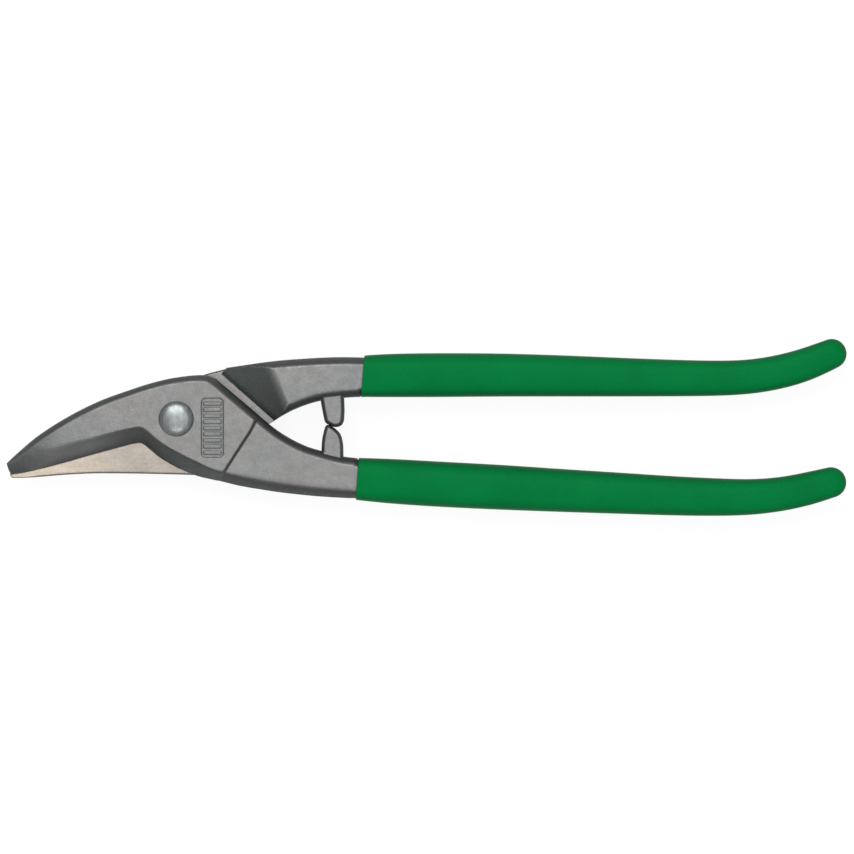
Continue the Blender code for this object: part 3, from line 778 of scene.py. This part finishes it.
def thread_rings(top, bottom, radius, deep, pitch):
    """Rings down a screw thread: the radius follows a helix and fades out at the end."""
    turn = np.linspace(0, 2 * math.pi, ROUND_COUNT, endpoint=False)
    rings = []
    for z in np.arange(top, bottom, -0.11):
        phase = (z / pitch - turn / (2 * math.pi)) % 1
        crest = np.abs(2 * phase - 1)
        cut = deep * smoothstep(0.1, 0.9, crest)
        chamfer = max(0.0, bottom + 0.55 - z) * 1.1
        reach = np.minimum(radius - cut, radius - chamfer)
        rings.append(np.column_stack([reach * np.cos(turn), reach * np.sin(turn),
                                      np.full(ROUND_COUNT, z)]))
    return rings


def washer_mesh():
    """A plain washer with broken edges."""
    low, high = (height_of("pivot_washer", k) + Z_SHEAR / MM for k in (0, 1))
    profile = [(3.62, low + 0.08), (3.7, low), (7.2, low), (7.48, low + 0.06), (7.58, low + 0.2),
               (7.6, low + 0.4), (7.6, high - 0.1), (7.52, high), (3.7, high), (3.62, high - 0.08)]
    rings = [level(r, z) for r, z in profile]
    return ring_mesh("washer", rings + rings[:1])


def nut_mesh():
    """A hexagon nut whose faces are turned down to a cone at the corners."""
    low, high = (height_of("pivot_nut", k) + Z_SHEAR / MM for k in (0, 1))
    turn = np.linspace(0, 2 * math.pi, ROUND_COUNT, endpoint=False)
    apothem, disc, bore, slope = 6.5, 6.15, 3.5, math.tan(math.radians(30))
    reach = apothem / np.cos(turn % (math.pi / 3) - math.pi / 6)
    fall = (reach - disc) * slope

    def hexagon(shrink, z):
        """A ring on the nut's six sides, drawn in by `shrink`."""
        side = reach - shrink
        return np.column_stack([side * np.cos(turn), side * np.sin(turn), z + 0 * turn])

    rings = [level(bore, low + 0.4), level(bore + 0.35, low), level(disc, low),
             hexagon(0.06, low + fall - 0.035), hexagon(0, low + fall + 0.06),
             hexagon(0, high - fall - 0.06), hexagon(0.06, high - fall + 0.035),
             level(disc, high), level(bore + 0.35, high), level(bore, high - 0.4)]
    return ring_mesh("nut", rings + rings[:1])


def section(spot, half, high, power):
    """A rounded-rectangle ring across a handle at a point (x, y, heading x, heading y)."""
    turn = np.linspace(0, 2 * math.pi, SECTION_COUNT, endpoint=False)
    cos, sin = np.cos(turn), np.sin(turn)
    size = (np.abs(cos) ** power + np.abs(sin) ** power) ** (-1 / power)
    return np.column_stack([spot[0] - spot[3] * half * size * cos,
                            spot[1] + spot[2] * half * size * cos,
                            Z_SHEAR / MM + high * size * sin])


def turned_by(heading, angle):
    """Headings (x, y) turned anticlockwise by angles in radians."""
    cos, sin = np.cos(angle), np.sin(angle)
    return np.column_stack([heading[:, 0] * cos - heading[:, 1] * sin,
                            heading[:, 0] * sin + heading[:, 1] * cos])


def sleeve_mesh(name, line, slant):
    """A dipped sleeve: rounded lip, thin wall, a bore that follows the tang and a domed tail.

    `slant` turns the lip, in radians, and fades out along the sleeve.
    """
    outer = handle_stations(line, line[0][0], 0.0, 1.6)
    ahead = np.gradient(outer[:, :2], axis=0)
    ahead /= np.linalg.norm(ahead, axis=1)[:, None]
    run = np.append(0, np.cumsum(np.linalg.norm(np.diff(outer[:, :2], axis=0), axis=1)))
    spots = np.hstack([outer[:, :2], turned_by(ahead, slant * (1 - smoothstep(0, 11, run)))])
    half = outer[:, 2]
    power = 2.6 + 0.5 * (1 - smoothstep(1, 14, run))
    mouth, start = spots[0], half[0]

    def inward(distance):
        """The mouth's centre and heading, moved into the sleeve."""
        return np.array([*(mouth[:2] + mouth[2:] * distance), *mouth[2:]])

    bore = handle_stations(line, line[0][0], GRIP_WALL, 3.0)[:-10]
    turned = np.gradient(bore[:, :2], axis=0)
    turned /= np.linalg.norm(turned, axis=1)[:, None]
    past = (bore[:, :2] - mouth[:2]) @ mouth[2:]
    turned = turned_by(turned, slant * (1 - smoothstep(0, 11, past)))
    hollow = [section((*b[:2], *t), b[2], b[2] * BORE_FLATNESS, 2.6)
              for b, t in zip(bore[past > POCKET + 0.1], turned[past > POCKET + 0.1])]
    end = hollow[-1].mean(axis=0, keepdims=True)
    rings = [end] + hollow[::-1]
    rings.append(section(inward(POCKET), start - GRIP_WALL, (start - GRIP_WALL) * BORE_FLATNESS, 2.6))
    inner, high = start - 0.5, start * GRIP_FLATNESS - 0.45
    rings += [section(inward(POCKET), inner, high, 3.2), section(inward(0.12), inner, high, 3.2),
              section(inward(0), inner + 0.08, high + 0.08, 3.2)]
    for turn in np.radians(np.linspace(0, 90, 7)):
        inset = LIP_ROUND * (1 - math.sin(turn))
        rings.append(section(inward(LIP_ROUND * (1 - math.cos(turn))), start - inset,
                             start * GRIP_FLATNESS - inset, power[0]))
    for k in range(1, len(spots) - 1):
        rings.append(section(spots[k], half[k], half[k] * GRIP_FLATNESS, power[k]))
    rings.append(np.array([[*spots[-1][:2], Z_SHEAR / MM]]))
    mesh = ring_mesh(name, rings)
    # Steep sides of the sleeve are marked for painted shade.
    add_attribute(mesh, "side", smoothstep(0.02, 0.45, 1 - np.abs(vertex_slopes(mesh))))
    return mesh


# ---------------------------------------------------------------- materials
def add(tree, kind, inputs=None, **settings):
    """Add a node; inputs are values or the sockets that feed them."""
    made = tree.nodes.new(kind)
    for key, value in settings.items():
        setattr(made, key, value)
    for key, value in (inputs or {}).items():
        if isinstance(value, bpy.types.NodeSocket):
            tree.links.new(value, made.inputs[key])
        else:
            made.inputs[key].default_value = value
    return made


def noise(tree, coords, scale, detail=3.0, low=0.0, high=1.0):
    """Noise in cycles per metre, spread over low..high."""
    raw = add(tree, 'ShaderNodeTexNoise', {'Vector': coords, 'Scale': scale, 'Detail': detail})
    spread = add(tree, 'ShaderNodeMapRange', {'Value': raw.outputs['Fac'], 'From Min': 0.3,
                                              'From Max': 0.7, 'To Min': low, 'To Max': high})
    return spread.outputs['Result']


def mixed(tree, factor, first, second, blend='MIX'):
    """Mix two colours."""
    made = add(tree, 'ShaderNodeMix', {0: factor}, data_type='RGBA', blend_type=blend)
    for index, value in ((6, first), (7, second)):
        if isinstance(value, bpy.types.NodeSocket):
            tree.links.new(value, made.inputs[index])
        else:
            made.inputs[index].default_value = (*value, 1)
    return made.outputs[2]


def math_node(tree, operation, first, second):
    """One arithmetic step between two values or sockets."""
    return add(tree, 'ShaderNodeMath', {0: first, 1: second}, operation=operation).outputs[0]


def start_material(name):
    """A new material: its tree, shader and object coordinates."""
    material = bpy.data.materials.new(name)
    material.use_nodes = True
    tree = material.node_tree
    coords = add(tree, 'ShaderNodeTexCoord').outputs['Object']
    return material, tree, tree.nodes["Principled BSDF"], coords


def stretched(tree, coords, scale, angle):
    """Coordinates turned about Z and stretched, for grinding lines."""
    return add(tree, 'ShaderNodeMapping', {'Vector': coords, 'Scale': scale,
                                           'Rotation': (0, 0, angle)}).outputs['Vector']


def forged_material():
    """Blasted flats; slopes darker with forging oxide and painted shade; ground sliding faces."""
    material, tree, shader, coords = start_material("forged_steel_finish")
    oxide_and_shade = add(tree, 'ShaderNodeAttribute', attribute_name="oxide_and_shade").outputs['Fac']
    bright = add(tree, 'ShaderNodeAttribute', attribute_name="bright").outputs['Fac']
    mottle = noise(tree, coords, 160, 5.0, 0.955, 1.045)
    grain = noise(tree, coords, 1500, 4.0, 0.91, 1.09)
    tint = noise(tree, coords, 60, 2.0)
    lines = noise(tree, stretched(tree, coords, (60, 2400, 60), 0.2), 1.0, 2.0, 0.92, 1.08)
    flat = mixed(tree, tint, FLAT_WARM, FLAT_COOL)
    slope = mixed(tree, tint, OXIDE_AND_SHADE_COOL, OXIDE_AND_SHADE_WARM)
    # Slopes take the darker colour: forging oxide and painted shade.
    oxide_and_shade_colour = mixed(tree, oxide_and_shade, flat, slope)
    ground = mixed(tree, tint, GROUND_WARM, GROUND_COOL)
    ground = mixed(tree, 1.0, ground, lines, 'MULTIPLY')
    share = math_node(tree, 'MULTIPLY', bright, math_node(tree, 'SUBTRACT', 1.0, oxide_and_shade))
    colour = mixed(tree, share, oxide_and_shade_colour, ground)
    colour = mixed(tree, 1.0, colour, mottle, 'MULTIPLY')
    colour = mixed(tree, 1.0, colour, grain, 'MULTIPLY')
    tree.links.new(colour, shader.inputs['Base Color'])
    rough = noise(tree, coords, 400, 3.0, 0.42, 0.54)
    rough = math_node(tree, 'SUBTRACT', rough, math_node(tree, 'MULTIPLY', share, 0.1))
    tree.links.new(rough, shader.inputs['Roughness'])
    shader.inputs['Metallic'].default_value = 1.0
    pits = add(tree, 'ShaderNodeBump', {'Strength': 0.35, 'Distance': 0.00004,
                                        'Height': noise(tree, coords, 1900, 3.0)})
    waves = add(tree, 'ShaderNodeBump', {'Strength': 0.25, 'Distance': 0.0002,
                                         'Height': noise(tree, coords, 220, 2.0),
                                         'Normal': pits.outputs['Normal']})
    tree.links.new(waves.outputs['Normal'], shader.inputs['Normal'])
    return material


def bolt_material():
    """Bright turned steel with fine brush marks and small nicks."""
    material, tree, shader, coords = start_material("bolt_steel_finish")
    brush = noise(tree, stretched(tree, coords, (2600, 240, 240), 0.12), 1.0, 3.0, 0.8, 1.1)
    cloud = noise(tree, coords, 420, 3.0, 0.86, 1.08)
    # Painted shade: steep parts such as the dome's rim are darkened.
    rim = add(tree, 'ShaderNodeAttribute', attribute_name="rim").outputs['Fac']
    colour = mixed(tree, 1.0, mixed(tree, rim, BOLT_COLOUR, RIM_PAINTED_SHADE), brush, 'MULTIPLY')
    colour = mixed(tree, 1.0, colour, cloud, 'MULTIPLY')
    tree.links.new(colour, shader.inputs['Base Color'])
    tree.links.new(noise(tree, coords, 900, 3.0, 0.24, 0.38), shader.inputs['Roughness'])
    shader.inputs['Metallic'].default_value = 1.0
    bump = add(tree, 'ShaderNodeBump', {'Strength': 0.25, 'Distance': 0.00003, 'Height': brush})
    tree.links.new(bump.outputs['Normal'], shader.inputs['Normal'])
    return material


def grip_material():
    """Dipped vinyl: deep green, satin, slightly uneven with a faint orange peel."""
    material, tree, shader, coords = start_material("green_vinyl")
    cloud = noise(tree, coords, 70, 3.0)
    speck = noise(tree, coords, 1500, 2.0, 0.94, 1.05)
    colour = mixed(tree, cloud, GREEN_DEEP, GREEN_LIGHT)
    # Painted shade: the sleeve's steep sides are darker green.
    side = add(tree, 'ShaderNodeAttribute', attribute_name="side").outputs['Fac']
    colour = mixed(tree, side, colour, GREEN_PAINTED_SHADE)
    colour = mixed(tree, 1.0, colour, speck, 'MULTIPLY')
    tree.links.new(colour, shader.inputs['Base Color'])
    tree.links.new(noise(tree, coords, 160, 3.0, 0.41, 0.44), shader.inputs['Roughness'])
    shader.inputs['Specular IOR Level'].default_value = 0.03
    peel = add(tree, 'ShaderNodeBump', {'Strength': 0.2, 'Distance': 0.00006,
                                        'Height': noise(tree, coords, 700, 2.0)})
    tree.links.new(peel.outputs['Normal'], shader.inputs['Normal'])
    return material


# ---------------------------------------------------------------- the pieces
def place(mesh, material, body, node):
    """Put a finished mesh in the scene as a piece that stands for one CAD node."""
    mesh.materials.append(material)
    piece = bpy.data.objects.new(mesh.name, mesh)
    bpy.context.scene.collection.objects.link(piece)
    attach(piece, body)
    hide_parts(node)
    return piece


forged = forged_material()
bolt_steel = bolt_material()
vinyl = grip_material()
place(forging_mesh("front_half", front_forging(), 1), forged, "front",
      "front_blade_half")
place(forging_mesh("rear_half", rear_forging(), -1), forged, "rear",
      "rear_blade_half")
place(bolt_mesh(), bolt_steel, "front", "pivot_bolt")
place(washer_mesh(), bolt_steel, "front", "pivot_washer")
place(nut_mesh(), bolt_steel, "front", "pivot_nut")
place(sleeve_mesh("lower_sleeve", LOWER_LINE, 0.0), vinyl, "front", "lower_grip")
place(sleeve_mesh("upper_sleeve", UPPER_LINE, -0.11), vinyl, "rear", "upper_grip")


# ---------------------------------------------------------------- stage, light and camera
def build_floor():
    """A wide pale floor just below the tool, bright enough to show white."""
    bpy.ops.mesh.primitive_plane_add(size=6, location=(0.08, 0, -0.0004))
    floor = bpy.context.object
    floor.name = "floor"
    material, tree, shader, coords = start_material("pale_floor")
    shade = noise(tree, coords, 3, 2.0, 0.985, 1.0)
    tree.links.new(mixed(tree, 1.0, FLOOR_COLOUR, shade, 'MULTIPLY'), shader.inputs['Base Color'])
    tree.links.new(shader.inputs['Base Color'].links[0].from_socket,
                   shader.inputs['Emission Color'])
    shader.inputs['Emission Strength'].default_value = FLOOR_GLOW / FLOOR_COLOUR[0]
    shader.inputs['Roughness'].default_value = 0.9
    shader.inputs['Specular IOR Level'].default_value = 0.1
    floor.data.materials.append(material)


def soft_light(name, place_at, width, depth, radiance):
    """A studio light that looks at the joint, given by how bright its face is."""
    light = bpy.data.lights.new(name, 'AREA')
    light.shape = 'RECTANGLE'
    light.size = width
    light.size_y = depth
    light.energy = radiance * math.pi * width * depth
    lamp = bpy.data.objects.new(name, light)
    lamp.location = place_at
    aim = Vector(LIGHT_AIM) - Vector(place_at)
    lamp.rotation_euler = aim.to_track_quat('-Z', 'Y').to_euler()
    bpy.context.scene.collection.objects.link(lamp)


def build_world():
    """Pale surroundings: a white band just above the floor, then dim, bright overhead."""
    world = bpy.data.worlds.new("studio")
    bpy.context.scene.world = world
    world.use_nodes = True
    tree = world.node_tree
    up = add(tree, 'ShaderNodeSeparateXYZ', {0: add(tree, 'ShaderNodeTexCoord').outputs['Generated']})
    rise = add(tree, 'ShaderNodeMapRange', {'Value': up.outputs['Z'], 'From Min': 0.0,
                                            'From Max': 0.9})
    colour = mixed(tree, rise.outputs['Result'], HORIZON, ZENITH)
    band = add(tree, 'ShaderNodeMapRange', {'Value': up.outputs['Z'], 'From Min': BAND_END,
                                            'From Max': BAND_FULL})
    colour = mixed(tree, band.outputs['Result'], colour, WHITE)
    tree.links.new(colour, tree.nodes['Background'].inputs['Color'])


def build_camera():
    """A long lens straight above the tool, as far away as frames the picture's width."""
    camera = bpy.data.cameras.new("camera")
    camera.lens = LENS
    camera.sensor_width = SENSOR
    away = FRAME_WIDTH * camera.lens / camera.sensor_width
    view = bpy.data.objects.new("camera", camera)
    view.location = (*FRAME_CENTRE, Z_SHEAR + away)
    bpy.context.scene.collection.objects.link(view)
    bpy.context.scene.camera = view


build_floor()
build_world()
soft_light("overhead", (0.4, 0.0, 2.7), 1.6, 2.0, 0.85)
soft_light("far_side", (-0.2, 1.45, 2.5), 1.9, 1.6, 3.3)
soft_light("near_side", (0.1, -1.5, 2.4), 1.4, 0.6, 2.6)
build_camera()
bpy.context.scene.view_settings.view_transform = 'Standard'
